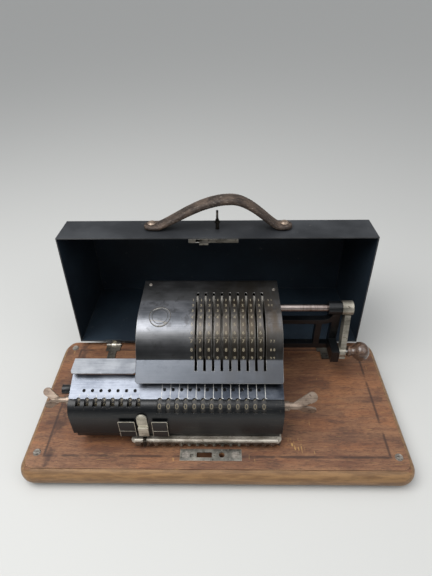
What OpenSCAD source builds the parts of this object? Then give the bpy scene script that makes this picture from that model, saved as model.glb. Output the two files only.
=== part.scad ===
// Pinwheel calculator on its base board, with a hinged case cover standing open behind it.
// Pieces are drawn from the middle of the board's front top edge: x to the right,
// y to the back and z up. on_board() then moves them so that the origin is the middle
// of the board's underside.

/* [Base board] */
// Width of the board's flat top
board_w = 390; // [380:1:410]
// Depth of the board's flat top, front to back
board_d = 176; // [174:1:190]
// Thickness of the board
board_t = 25; // [24:1:28]
// Corner radius of the board's flat top, seen from above
board_corner_r = 10; // [6:1:14]
// How far the rounded moulding stands out round the board
moulding_out = 7.5; // [6:0.5:9]

/* [Case cover] */
// Width of the cover
cover_w = 357; // [357:1:360]
// Place of the closed cover's front
cover_front_y = 12.5; // [12:0.5:13]
// Place of the closed cover's back
cover_back_y = 163.7; // [163.5:0.1:166]
// Height of the cover
cover_h = 122; // [122:1:128]
// Height of the cover's upright front wall
cover_lip_h = 44; // [36:1:50]
// Depth of the slope above the front wall
cover_slope_d = 46; // [36:1:50]
// Thickness of the cover's sheet
cover_sheet = 1.3; // [1:0.1:1.5]
// Angle at which the cover stands open
open_angle = 93.5; // [91:0.5:96]

/* [Machine] */
// Distance from one digit column to the next
pitch = 8.55; // [8.5:0.01:8.6]
// Number of setting levers
levers = 9; // [9:1:9]
// Place of the rightmost setting lever
lever_x = 49; // [48.5:0.1:49.5]
// Left side of the machine's body
body_x0 = -79.2; // [-80:0.1:-78.5]
// Right side of the machine's body
body_x1 = 67.1; // [66.8:0.1:68]
// Outer radius of the rounded cover over the rotor
hood_r = 45.5; // [45.3:0.1:45.8]
// Thickness of the hood's sheet
hood_sheet = 1.2; // [1:0.1:1.3]

/* [Carriage] */
// Left end of the carriage
carriage_x0 = -145.6; // [-147:0.1:-145]
// Right end of the carriage
carriage_x1 = 67.6; // [67.4:0.1:71]
// Digits in the result register
result_digits = 13; // [13:1:13]
// Digits in the counter register
counter_digits = 8; // [8:1:8]
// Place of the rightmost result wheel
result_x = 47.6; // [47.4:0.1:47.8]
// Place of the rightmost counter wheel
counter_x = -75.8; // [-76:0.1:-74]

/* [Crank] */
// Length of the crank arm between its centres
crank_arm = 53.8; // [52:0.1:54.5]
// Largest radius of the wooden knob
knob_r = 11.2; // [10:0.1:11.6]

/* [Hidden] */
$fn = 48;

// gap between pieces that move past each other, and radial clearance of a shaft in its bore
gap = 0.3;
run_fit = 0.05;

// places of the shafts, as [y, z]
rotor_at = [108, 72];
crank_at = [145, 87.3];
result_at = [42, 45.6];
counter_at = [43.5, 52.2];
pinion_at = [59.5, 53];
hinge_at = [170.6, 1];
hinge_pin_r = 1.5;
hinge_knuckle_r = 3;
hinge_x = 136;

// machine body
base_top = 8;
rail_top = 12;
rail_x0 = -83;
rail_x1 = 67.3;
rail_corner_r = 5;
// round bar along the lip
lip_r = 2;
lip_at = [24, 12.4];
rail_front_y = 22;
lip_t = 1.8;
// back of the front rail, where the carriage's tongue runs
rail_tongue_y = 35;
rail_back_y = 60;
hood_top = rotor_at[1] + hood_r;
hood_back = 161.2;
hood_bend_r = 7;
crease_angle = 70;
crease_at = rotor_at + hood_r * [-sin(crease_angle), cos(crease_angle)];
apron_end = [46.7, 74];
apron_corner_r = 3;
apron_run = apron_end - crease_at;
apron_len = norm(apron_run);
apron_dir = apron_run / apron_len;
apron_tilt = atan2(-apron_dir[1], -apron_dir[0]);
apron_out = [apron_dir[1], -apron_dir[0]];
slot_w = 2.4;
slot_back_y = 134.8;
slot_past_crease = 10.6;
frame_t = 4.2;
frame_front_y = 68;
shaft_r = 6;
shaft_small_r = 4;
stud_r = 3;

// rotor and levers
tip_r = 50.5;
hub_r = 20;
wheel_r = 43.5;
wheel_t = 4;
wheel_from_lever = 1.2;
lever_t = 1.8;
lever_rest = 22;
pin_r = 1;

// gear train, with idler midway between the crank's and the rotor's gears
train = rotor_at - crank_at;
train_angle = atan2(train[1], train[0]);
gear_teeth = 25;
idler_teeth = 15;
gear_module = norm(train) / (gear_teeth + idler_teeth);
gear_play = 0.16;
gear_x0 = 56.4;
gear_t = 5;
idler_at = crank_at + train / 2;

// crank
crank_rest = [-21, -53.4];
knob_at = crank_at + crank_rest * crank_arm / norm(crank_rest);
bearing_x0 = 126;
bearing_x1 = 141;
hub_x0 = 141.3;
hub_x1 = 153.4;
arm_x0 = 144.5;
arm_x1 = 151;
// the arm leans towards the machine by this much at the knob
arm_shift = 2.7;
knob_x0 = arm_x1 - arm_shift + 3.2;
knob_x1 = 176.8;
lug_x0 = 132;

// carriage
drum_r = 13.5;
counter_r = 8.2;
drum_t = 6.2;
wheel_gear_t = 1.6;
front_r = 15.2;
shell = 1.2;
front_y = result_at[0] - front_r;
carriage_back = 56.3;
carriage_low = 20;
top_slope = 20.6;
top_front = [38.5, 60.4];
top_back = top_front + (carriage_back - top_front[0]) * [1, tan(top_slope)];
top_sheet = 1;
// the top plate is deeper over its left end, which never reaches the levers
top_deep_x = -81.5;
top_deep = 6;
window_half_w = 2.4;
result_window_z = 51.5;
counter_window_z = 56.3;
end_t = 3;
marker_r = 1.65;
wheel_shaft_r = 3;
// wall between the two registers, that the two shafts end in
divider_x0 = -66.4;
divider_x1 = -61.6;
shaft_seat = 2.2;
end_boss_at = [51, 59.6];
wing_leaf = 2.4;
wing_bend = 50;
latch_x0 = -77.8;
latch_x1 = -67.4;
latch_t = 0.8;
guard_x0 = -96.4;
guard_x1 = -47.8;
guard_z0 = 19;
guard_z1 = 43;
guard_out = 2.8;

// lock and handle, in the closed cover's place
lock_x0 = -30.6;
lock_x1 = 24.3;
lock_y0 = cover_front_y + cover_sheet;
lock_y1 = lock_y0 + 5;
lock_h = 27.5;
bolt_x = -11;
key_x = 1;
key_z = 23;
key_r = 2;
handle_x0 = -74;
handle_x1 = 77;
handle_z = 25;
handle_w = 20;
handle_rise = 39;
handle_t = 9;

// turns a flat y-z shape into a bar from x0 to x1
module along_x(x0, x1) {
  translate([x0, 0, 0]) rotate([90, 0, 90]) linear_extrude(x1 - x0) children();
}

// round bar along x at the place [y, z]
module rod(x0, x1, at, r) {
  translate([x0, at[0], at[1]]) rotate([0, 90, 0]) cylinder(h = x1 - x0, r = r);
}

// box between two corners
module block(low, high) {
  translate(low) cube(high - low);
}

// cut that rounds a flat piece's corner, standing at the corner with the piece towards +x and +y
module corner_cut(r, low, high) {
  difference() {
    block([-1, -1, low], [r, r, high]);
    translate([r, r, low - 1]) cylinder(h = high - low + 2, r = r);
  }
}

module on_board() {
  translate([0, -board_d / 2, board_t]) children();
}

// swings the closed cover's pieces open about the hinge
module opened() {
  on_board()
    translate([0, hinge_at[0], hinge_at[1]]) rotate([-open_angle, 0, 0])
      translate([0, -hinge_at[0], -hinge_at[1]]) children();
}

// rounded head of a slotted screw, its flat side on z = 0
module screw_head(r, h) {
  difference() {
    cylinder(h = h, r1 = r, r2 = r * 0.72);
    translate([-r, -r * 0.13, h * 0.5]) cube([2 * r, r * 0.26, h]);
  }
}

function involute(base_r, t) = base_r * [cos(t) + t * PI / 180 * sin(t), sin(t) - t * PI / 180 * cos(t)];

// spur gear outline with a tooth centred on angle 0
module gear_outline(teeth) {
  pitch_r = gear_module * teeth / 2;
  base_r = pitch_r * cos(20);
  tip_radius = pitch_r + 0.95 * gear_module;
  root_r = pitch_r - 1.2 * gear_module;
  inv_pitch = tan(20) * 180 / PI - 20;
  half_tooth = 90 / teeth - gear_play / 2 / pitch_r * 180 / PI;
  tip_roll = sqrt(pow(tip_radius / base_r, 2) - 1) * 180 / PI;
  start_roll = root_r > base_r ? sqrt(pow(root_r / base_r, 2) - 1) * 180 / PI : 0;
  flank = [for (s = [0:4]) involute(base_r, start_roll + (tip_roll - start_roll) * s / 4)];
  left = [for (p = flank) [norm(p), atan2(p[1], p[0]) - inv_pitch - half_tooth]];
  side = concat([[root_r, left[0][1]]], left);
  tooth = concat(side, [for (i = [len(side) - 1:-1:0]) [side[i][0], -side[i][1]]]);
  polygon([
    for (k = [0:teeth - 1])
      for (p = tooth)
        p[0] * [cos(p[1] + 360 / teeth * k), sin(p[1] + 360 / teeth * k)]
  ]);
}

// gear on the train's line, with a tooth or a gap at the given angle
module train_gear(teeth, at, tooth_angle, bore_r) {
  along_x(gear_x0, gear_x0 + gear_t)
    translate(at) difference() {
      rotate(tooth_angle) gear_outline(teeth);
      circle(bore_r);
    }
}

// section of the board's edge, with the flat top's end at x = 0
module board_edge() {
  r = (board_t - 1) / 2;
  depth = 20;
  translate([moulding_out - r, r]) circle(r, $fn = 64);
  translate([-depth, 0]) square([depth + moulding_out - r, board_t]);
  translate([-depth, r]) square([depth, board_t - r]);
}

module board_solid() {
  x = board_w / 2;
  y = board_d / 2;
  r = board_corner_r;
  block([15 - x, 15 - y, 0], [x - 15, y - 15, board_t]);
  along_x(r - x, x - r) {
    translate([y, 0]) board_edge();
    mirror([1, 0]) translate([y, 0]) board_edge();
  }
  translate([0, y - r, 0]) rotate([90, 0, 0]) linear_extrude(2 * (y - r)) {
    translate([x, 0]) board_edge();
    mirror([1, 0]) translate([x, 0]) board_edge();
  }
  for (sx = [-1, 1], sy = [-1, 1])
    translate([sx * (x - r), sy * (y - r), 0]) rotate_extrude() intersection() {
      translate([r, 0]) board_edge();
      square([r + 2 * moulding_out, board_t]);
    }
}

corner_screws = [[-186, 17], [186, 14], [-186, 166], [186, 166]];
base_screws = [[-70, 38], [58, 38], [-70, 148], [58, 148]];
striker_x0 = -37;
striker_x1 = 26.5;
striker_y0 = 8.8;
striker_y1 = 22;
striker_mid = (striker_y0 + striker_y1) / 2;
striker_screws = [-31, 20];

module base_board() {
  color("saddlebrown")
    difference() {
      board_solid();
      on_board() {
        for (x = [-hinge_x, hinge_x]) rod(x - 9.6, x + 9.6, hinge_at, hinge_knuckle_r + 0.4);
        // seat of the striker plate and the mortise for the lock's tongue
        block([striker_x0, striker_y0, -1.2], [striker_x1, striker_y1, 1]);
        block([-24, striker_y0 + 3.2, -11], [-3.5, striker_y1 - 3, 1]);
        translate([key_x + 5, striker_mid, -11]) cylinder(h = 12, r = 3);
        for (x = striker_screws) translate([x, striker_mid, -13]) cylinder(h = 14, r = 1.6);
        for (p = corner_screws) translate([p[0], p[1], -20]) cylinder(h = 21, r = 2);
        for (p = base_screws) {
          translate([p[0], p[1], -board_t - 1]) cylinder(h = board_t + 2, r = 2.6);
          translate([p[0], p[1], -board_t - 1]) cylinder(h = 9, r = 6);
        }
      }
    }
}

// screws of the board, the striker, the machine's base and the hood, and the rotor shaft's caps
module screws() {
  color("dimgray") on_board() {
    for (p = corner_screws) translate([p[0], p[1], 0]) {
      screw_head(4.2, 1.6);
      translate([0, 0, -18]) cylinder(h = 18, r = 2);
    }
    // countersunk, flush with the striker plate
    for (x = striker_screws) translate([x, striker_mid, 0]) {
      difference() {
        translate([0, 0, -1.2]) cylinder(h = 1.1, r = 3.9);
        translate([-4, -0.5, -0.6]) cube([8, 1, 1]);
      }
      translate([0, 0, -12]) cylinder(h = 11, r = 1.6);
    }
    for (p = base_screws) translate([p[0], p[1], -board_t + 5]) {
      rotate([180, 0, 0]) screw_head(5, 3);
      cylinder(h = board_t + 2, r = 2.5);
    }
    for (x = [body_x0 + 7, body_x1 - 5]) translate([x, x > 0 ? 140 : 149, hood_top]) screw_head(1.9, 0.8);
    for (x = [body_x0 + 7, body_x1 - 7], z = [18, 98])
      translate([x, hood_back, z]) rotate([-90, 0, 0]) screw_head(2.6, 0.8);
    rod(body_x0 - 1.6, body_x0 + 0.38, rotor_at, 8);
    rod(body_x1 - 0.28, body_x1 + 1.6, rotor_at, 8);
  }
}

module striker_plate() {
  color("gray") on_board() difference() {
    block([striker_x0, striker_y0, -1.2], [striker_x1, striker_y1, 0]);
    block([-19.8, striker_mid - 2.9, -2], [-4.2, striker_mid + 2.9, 1]);
    translate([key_x + 5, striker_mid, -2]) cylinder(h = 3, r = 3);
    for (x = striker_screws) translate([x, striker_mid, -2]) cylinder(h = 3, r = 3.95);
  }
}

// knuckle barrels along x, each [from, to], with or without a bore
module barrels(spans, x, bore_r) {
  for (s = spans) difference() {
    rod(x + s[0], x + s[1], hinge_at, hinge_knuckle_r);
    rod(x + s[0] - 1, x + s[1] + 1, hinge_at, bore_r);
  }
}

module hinge_straps() {
  color("silver") on_board() for (x = [-hinge_x, hinge_x]) {
    difference() {
      union() {
        block([x - 5, 147, 0], [x + 5, 168.4, 1.4]);
        for (s = [-9, 3]) block([x + s, 160, 0], [x + s + 6, 170.6, 1.4]);
      }
      rod(x - 12, x + 12, hinge_at, hinge_knuckle_r + gap);
      for (y = [151, 157]) translate([x, y, -1]) cylinder(h = 4, r = 1.2);
    }
    for (s = [[-9, -3.2], [3.2, 9]]) difference() {
      union() {
        rod(x + s[0], x + s[1], hinge_at, hinge_knuckle_r);
        block([x + s[0], 165, 0], [x + s[1], 168.5, 1.4]);
      }
      block([x - 10, 165, -5], [x + 10, 175, 0]);
    }
    rod(x - 9.6, x + 9.6, hinge_at, hinge_pin_r);
    for (y = [151, 157]) translate([x, y, 0]) cylinder(h = 2, r = 1.2);
  }
}

// outline of the closed cover's end, drawn in by the given distance
module cover_side(inset) {
  low = inset > 0 ? -10 : gap;
  slope = atan2(cover_h - cover_lip_h, cover_slope_d);
  // the sloping corner moves in square to the slope
  shift = inset * tan((90 - slope) / 2);
  shift_top = inset * tan(slope / 2);
  polygon([
    [cover_front_y + inset, low],
    [cover_front_y + inset, cover_lip_h - shift],
    [cover_front_y + cover_slope_d + shift_top, cover_h - inset],
    [cover_back_y - inset, cover_h - inset],
    [cover_back_y - inset, low],
  ]);
}

module cover_shell() {
  color("darkslategray") opened() difference() {
    along_x(-cover_w / 2, cover_w / 2) cover_side(0);
    along_x(-cover_w / 2 + cover_sheet, cover_w / 2 - cover_sheet) cover_side(cover_sheet);
    // relief over the hinge straps
    for (x = [-hinge_x, hinge_x]) block([x - 10, cover_back_y - 3, -1], [x + 10, cover_back_y + 1, 2]);
    // keyhole
    translate([key_x, cover_front_y - 1, key_z]) rotate([-90, 0, 0]) cylinder(h = 4, r = 2.4);
    for (x = [handle_x0, handle_x1])
      translate([x, cover_front_y - 1, handle_z]) rotate([-90, 0, 0]) cylinder(h = 4, r = 2);
  }
}

module cover_hinge_leaves() {
  leaf_y = cover_back_y + 1.2;
  color("silver") opened() for (x = [-hinge_x, hinge_x]) {
    block([x - 9, cover_back_y, 5], [x + 9, leaf_y, 30]);
    difference() {
      union() {
        rod(x - 2.9, x + 2.9, hinge_at, hinge_knuckle_r);
        block([x - 2.9, cover_back_y, 5], [x + 2.9, hinge_at[0], 6.2]);
        block([x - 2.9, hinge_at[0] - 1.2, 1], [x + 2.9, hinge_at[0], 6.2]);
      }
      rod(x - 4, x + 4, hinge_at, hinge_pin_r + run_fit);
    }
    for (z = [14, 24])
      translate([x, leaf_y, z]) rotate([-90, 0, 0]) screw_head(2.2, 1);
  }
}

module lock_case() {
  color("gray") opened() difference() {
    union() {
      block([lock_x0, lock_y0, gap], [lock_x1, lock_y1, 2.3]);
      block([lock_x0 + 4, lock_y0, 2.3], [lock_x1 - 4, lock_y1, lock_h]);
    }
    // room for the bolt and its tongue
    block([bolt_x - 12.5, lock_y0 + 0.9, 3.6], [bolt_x + 14.5, lock_y1 - 0.9, 15.5]);
    block([bolt_x - 12, lock_y0 + 0.9, -1], [bolt_x + 3, lock_y1 - 0.9, 4]);
    translate([key_x, lock_y0 - 1, key_z]) rotate([-90, 0, 0]) cylinder(h = 5, r = key_r + run_fit);
  }
}

module lock_bolt() {
  y0 = lock_y0 + 1.2;
  y1 = lock_y1 - 1.2;
  color("tan") opened() {
    block([bolt_x - 8, y0, 4], [bolt_x + 14, y1, 15]);
    block([bolt_x - 4.5, y0, -3], [bolt_x + 2.5, y1, 4.2]);
    // hooked nose that catches under the striker
    block([bolt_x - 7.5, y0, -6.5], [bolt_x + 2.5, y1, -3]);
  }
}

module key() {
  color("black") opened() translate([key_x, lock_y0 + 3.8, key_z]) rotate([90, 0, 0]) {
    cylinder(h = 17, r = key_r);
    translate([0, 0, 12.8]) cylinder(h = 1.6, r = 3.2);
    translate([0, 0, 16.3]) difference() {
      translate([-1.2, 0, 5]) rotate([0, 90, 0]) cylinder(h = 2.4, r = 6);
      translate([-2, 0, 5.4]) rotate([0, 90, 0]) cylinder(h = 4, r = 3.4);
    }
  }
}

// the arch's highest place, the length of its flat ends and the strap's thickness there
arch_mid = 16;
arch_flat = 7;
arch_base = 5.6;

// centre line of the handle from one end to the other, as [x, distance from the wall]
function arch_point(u) =
  let (x = handle_x0 + (handle_x1 - handle_x0) * u,
       half = x < arch_mid ? arch_mid - handle_x0 : handle_x1 - arch_mid,
       side = max(0, 1 - abs(x - arch_mid) / (half - arch_flat)),
       rise = handle_rise - handle_t / 2 - arch_base / 2)
  [x, arch_base / 2 + rise * pow(sin(90 * side), 1.2)];

module handle_strap() {
  steps = 40;
  mid = [for (i = [0:steps]) arch_point(i / steps)];
  dir = [for (i = [0:steps]) let (d = mid[min(i + 1, steps)] - mid[max(i - 1, 0)]) d / norm(d)];
  half = [for (i = [0:steps]) (arch_base + (handle_t - arch_base) * sin(180 * i / steps)) / 2];
  outer = [for (i = [0:steps]) mid[i] + half[i] * [-dir[i][1], dir[i][0]]];
  inner = [for (i = [steps:-1:0]) mid[i] - half[i] * [-dir[i][1], dir[i][0]]];
  color("sienna") opened() {
    difference() {
      translate([0, cover_front_y, handle_z - handle_w / 2])
        mirror([0, 1, 0]) linear_extrude(handle_w) polygon(concat(outer, inner));
      translate([-200, cover_front_y, 0]) cube([400, 20, 60]);
      for (x = [handle_x0, handle_x1])
        translate([x, cover_front_y - 20, handle_z]) rotate([-90, 0, 0]) cylinder(h = 21, r = 2);
    }
    // tapered tongues beyond the screws
    for (s = [-1, 1]) {
      x = s < 0 ? handle_x0 : handle_x1;
      difference() {
        translate([x, cover_front_y, handle_z]) rotate([90, 0, 0]) linear_extrude(5.5)
          polygon([
            for (c = [[-7, -10], [2, -10], [8, -6], [13, 0], [8, 6], [2, 10], [-7, 10]]) [s * c[0], c[1]]
          ]);
        translate([x, cover_front_y - 8, handle_z]) rotate([-90, 0, 0]) cylinder(h = 9, r = 2);
      }
    }
  }
}

module handle_screws() {
  color("peru") opened() for (x = [handle_x0, handle_x1])
    translate([x, cover_front_y, handle_z]) rotate([90, 0, 0]) {
      translate([0, 0, 6.1]) screw_head(5, 1.8);
      translate([0, 0, -4]) cylinder(h = 10.2, r = 1.95);
      translate([0, 0, -cover_sheet - 1.8]) cylinder(h = 1.8, r = 4.5);
    }
}

module machine_base() {
  color("dimgray") on_board() difference() {
    union() {
      block([body_x0, 34.5, 0], [body_x1, 158, base_top]);
      // front rail with the lip along its top, and rear rail
      block([rail_x0, rail_front_y, 5], [rail_x1, rail_tongue_y, rail_top]);
      translate([rail_x0, rail_front_y + 4, rail_top - lip_t]) cylinder(h = lip_t, r = 4);
      rod(rail_x0, rail_x1 - rail_corner_r, lip_at, lip_r);
      for (x = [rail_x0, rail_x1 - rail_corner_r]) translate([x, lip_at[0], lip_at[1]]) sphere(lip_r);
      block([body_x0, rail_back_y - 8, base_top - 1], [body_x1, rail_back_y, rail_top]);
    }
    // notches that the latch drops into
    for (k = [0:16])
      translate([-74.5 + pitch * k, rail_front_y - 1, 4]) cylinder(h = rail_top - lip_t - 4, r = 3.2);
    for (p = base_screws) translate([p[0], p[1], -1]) cylinder(h = 9, r = 2.5);
    translate([rail_x1, rail_front_y, 0]) mirror([1, 0, 0]) corner_cut(rail_corner_r, 4, rail_top + 1);
    block([body_x0 + 14, 66, -1], [body_x1 - 14, 146, 5]);
  }
}

// outline of the hood's inside, for the frames that it is bent round
module hood_fill() {
  r = hood_r - hood_sheet - 0.05;
  back = hood_back - hood_sheet - 0.05;
  bend = hood_bend_r - hood_sheet - 0.05;
  inside = -(hood_sheet + 0.05) * apron_out;
  intersection() {
    translate(rotor_at) circle(r, $fn = 96);
    translate([frame_front_y, base_top]) square([200, 200]);
  }
  translate([rotor_at[0], base_top]) square([back - rotor_at[0], hood_top - hood_bend_r - base_top]);
  translate([rotor_at[0], base_top])
    square([hood_back - hood_bend_r - rotor_at[0], r + rotor_at[1] - base_top]);
  translate([hood_back - hood_bend_r, hood_top - hood_bend_r]) circle(bend);
  translate([frame_front_y, base_top]) square([rotor_at[0] - frame_front_y, rotor_at[1] - base_top]);
  polygon([
    crease_at + inside,
    apron_end + inside - apron_dir * 1.5,
    [apron_end[0] + 3, apron_end[1] - 0.6],
    [frame_front_y, apron_end[1] - 0.6],
    [rotor_at[0] - 20, rotor_at[1]],
    [crease_at[0] + 6, crease_at[1]],
  ]);
}

module left_frame() {
  color("dimgray") on_board() difference() {
    along_x(body_x0 + 0.4, body_x0 + 0.4 + frame_t) hood_fill();
    rod(body_x0 - 1, body_x0 + 9, rotor_at, shaft_r + run_fit);
  }
}

module right_frame() {
  x1 = body_x1 - 0.3;
  color("dimgray") on_board() {
    difference() {
      along_x(x1 - frame_t, x1) hood_fill();
      rod(x1 - 9, x1 + 1, rotor_at, shaft_r + run_fit);
      rod(x1 - 9, x1 + 1, crank_at, shaft_small_r + run_fit);
    }
    rod(gear_x0 - 1.5, x1 - frame_t + 0.1, idler_at, stud_r);
    rod(gear_x0 - 1.7, gear_x0 - gap, idler_at, stud_r + 1.4);
  }
}

function slot_x(i) = lever_x - pitch * (levers - i);

module hood() {
  slot_end = crease_at + apron_dir * slot_past_crease;
  color("slategray") on_board() difference() {
    along_x(body_x0, body_x1) {
      intersection() {
        translate(rotor_at) difference() {
          circle(hood_r, $fn = 96);
          circle(hood_r - hood_sheet, $fn = 96);
        }
        polygon([
          rotor_at,
          rotor_at + 70 * [-sin(crease_angle), cos(crease_angle)],
          [40, 140],
          [rotor_at[0], 140],
        ]);
      }
      translate([rotor_at[0], hood_top - hood_sheet])
        square([hood_back - hood_bend_r - rotor_at[0], hood_sheet]);
      translate([hood_back - hood_bend_r, hood_top - hood_bend_r]) intersection() {
        difference() {
          circle(hood_bend_r);
          circle(hood_bend_r - hood_sheet);
        }
        square(hood_bend_r + 1);
      }
      translate([hood_back - hood_sheet, base_top])
        square([hood_sheet, hood_top - hood_bend_r - base_top]);
      translate(apron_end) rotate(apron_tilt) translate([0, -hood_sheet]) square([apron_len, hood_sheet]);
    }
    for (i = [1:levers]) {
      along_x(slot_x(i) - slot_w / 2, slot_x(i) + slot_w / 2)
        polygon([
          [slot_back_y - slot_w / 2, 100],
          [slot_back_y - slot_w / 2, 130],
          [30, 130],
          slot_end + 20 * apron_out,
          slot_end - 6 * apron_out,
          [80, 84],
        ]);
      translate([slot_x(i), slot_back_y - slot_w / 2, 100]) cylinder(h = 30, r = slot_w / 2);
    }
    for (s = [0, 1])
      translate([s == 0 ? body_x0 : body_x1, apron_end[0], apron_end[1]])
        rotate([apron_tilt, 0, 0]) mirror([s, 0, 0]) corner_cut(apron_corner_r, -2 * hood_sheet, hood_sheet);
  }
}

module guard_plate() {
  x0 = carriage_x0 - 0.3;
  x1 = body_x0 - 0.2;
  // flat plate beside the apron, with a fold that is screwed to the left frame
  color("lightgray") on_board() {
    difference() {
      block([x0, 57.5, 75.2], [x1, 77.5, 76.4]);
      translate([x0, 57.5, 0]) corner_cut(4, 75, 77);
      translate([x1, 57.5, 0]) mirror([1, 0, 0]) corner_cut(4, 75, 77);
    }
    block([body_x0 - 1.2, 64, 66], [body_x0 - 0.1, 77.5, 76.4]);
    for (y = [67.5, 74]) translate([body_x0 - 1.2, y, 70]) rotate([0, -90, 0]) screw_head(2, 0.9);
  }
}

module crank_bracket() {
  y0 = 141;
  y1 = 149;
  color("black") on_board() difference() {
    union() {
      block([body_x1, 138, 24], [body_x1 + 3, 152, 76]);
      block([body_x1, y0, 66], [122, y1, 72]);
      block([body_x1, y0, 27], [bearing_x1, y1, 34]);
      block([114.5, y0, 27], [121.5, y1, 72]);
      // leg that rises from the foot to the bearing
      block([lug_x0, y0, 27], [bearing_x1, y1, 82]);
      translate([122, y1, 82]) rotate([90, 0, 0]) difference() {
        cylinder(h = y1 - y0, r = 16);
        translate([0, 0, -1]) cylinder(h = 12, r = 10);
        translate([-30, -30, -1]) cube([30, 60, 12]);
        translate([-1, 0, -1]) cube([40, 40, 12]);
      }
      rod(bearing_x0, bearing_x1, crank_at, 7.6);
      block([lug_x0, 118, 27], [bearing_x1, y1, 43]);
    }
    rod(bearing_x0 - 1, bearing_x1 + 1, crank_at, shaft_small_r + run_fit);
    rod(lug_x0 + 2, bearing_x1 + 1, knob_at, 2.6);
  }
}

module rotor_shaft() {
  color("silver") on_board() {
    rod(body_x0 + 0.5, body_x1 - 0.4, rotor_at, shaft_r);
    train_gear(gear_teeth, rotor_at, train_angle + 180 + 180 / gear_teeth, shaft_r);
  }
}

module pinwheels() {
  color("darkgoldenrod") on_board() difference() {
    union() {
      rod(slot_x(1) - 1.3, slot_x(levers) + wheel_from_lever + wheel_t, rotor_at, hub_r);
      for (i = [1:levers]) {
        x = slot_x(i) + wheel_from_lever;
        rod(x, x + wheel_t, rotor_at, wheel_r);
        // nine pins, drawn in as they stand at nought
        for (k = [0:8])
          translate([x + wheel_t / 2, rotor_at[0], rotor_at[1]]) rotate([-150 - 14 * k, 0, 0])
            cylinder(h = wheel_r + 0.6, r = pin_r, $fn = 16);
      }
    }
    rod(body_x0, body_x1, rotor_at, shaft_r + 0.02);
  }
}

module idler_gear() {
  color("silver") on_board()
    train_gear(idler_teeth, idler_at, train_angle + 180 + 180 / idler_teeth, stud_r + run_fit);
}

module crank_shaft() {
  color("silver") on_board() {
    rod(gear_x0 - 1.5, hub_x0 + 4, crank_at, shaft_small_r);
    train_gear(gear_teeth, crank_at, train_angle, shaft_small_r);
  }
}

module crank_arm_plate() {
  dir = (knob_at - crank_at) / crank_arm;
  across = [-dir[1], dir[0]];
  color("lightgray") on_board() difference() {
    union() {
      rod(hub_x0, hub_x1, crank_at, 8.2);
      translate([0, crank_at[0], crank_at[1]])
        rotate(a = atan(arm_shift / crank_arm), v = [0, across[0], across[1]])
          along_x(arm_x0, arm_x1) polygon([
            6.2 * across,
            crank_arm * dir + 4.6 * across,
            crank_arm * dir - 4.6 * across,
            -6.2 * across,
          ]);
      rod(arm_x0 - 0.5 - arm_shift, arm_x1 - arm_shift, knob_at, 6.6);
    }
    rod(hub_x0 - 1, hub_x0 + 4.1, crank_at, shaft_small_r + 0.02);
    rod(arm_x0 - 6, arm_x1 + 1, knob_at, 2.5 + run_fit);
  }
}

// pear-shaped knob, turned about its own axis
module crank_knob() {
  l = knob_x1 - knob_x0;
  n = l - knob_r;
  color("saddlebrown") on_board() translate([knob_x0, knob_at[0], knob_at[1]]) rotate([0, 90, 0])
    rotate_extrude($fn = 64) difference() {
      union() {
        square([6.4, 3]);
        polygon([
          [0, 2],
          [5.2, 2],
          [5.4, n - 7.5],
          [6.6, n - 4.8],
          [8.8, n - 2.2],
          [knob_r - 0.3, n],
          [0, n + 3],
        ]);
        intersection() {
          translate([0, n]) circle(knob_r, $fn = 64);
          translate([0, n - 1]) square([20, 20]);
        }
      }
      translate([-20, -5]) square([20, 60]);
      translate([-1, -1]) square([3.52, 15]);
    }
}

module lock_pin() {
  color("silver") on_board() rod(bearing_x1 + gap, knob_x0 + 13.5, knob_at, 2.5);
}

// y-z outline of the carriage, drawn in by the given distance
module carriage_outline(inset) {
  difference() {
    union() {
      translate(result_at) circle(front_r - inset, $fn = 96);
      translate([front_y + inset, carriage_low + inset])
        square([carriage_back - front_y - 2 * inset, result_at[1] - carriage_low - inset]);
      polygon([
        result_at,
        [carriage_back - inset, result_at[1] - 1],
        top_back - [inset, top_sheet + inset + 0.02],
        top_front - [0, top_sheet + inset + 0.02],
        [top_front[0] - 4, result_at[1]],
      ]);
    }
    // the top plate lies on this cut
    polygon([
      top_front - [20, top_sheet + 1.4],
      top_front - [0, top_sheet],
      top_back - [-10, top_sheet - 0.7],
      top_back + [10, 40],
      top_front + [-20, 40],
    ]);
  }
}

function result_wheel_x(i) = result_x - pitch * (result_digits - i);
function counter_wheel_x(i) = counter_x - pitch * (counter_digits - i);

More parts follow.
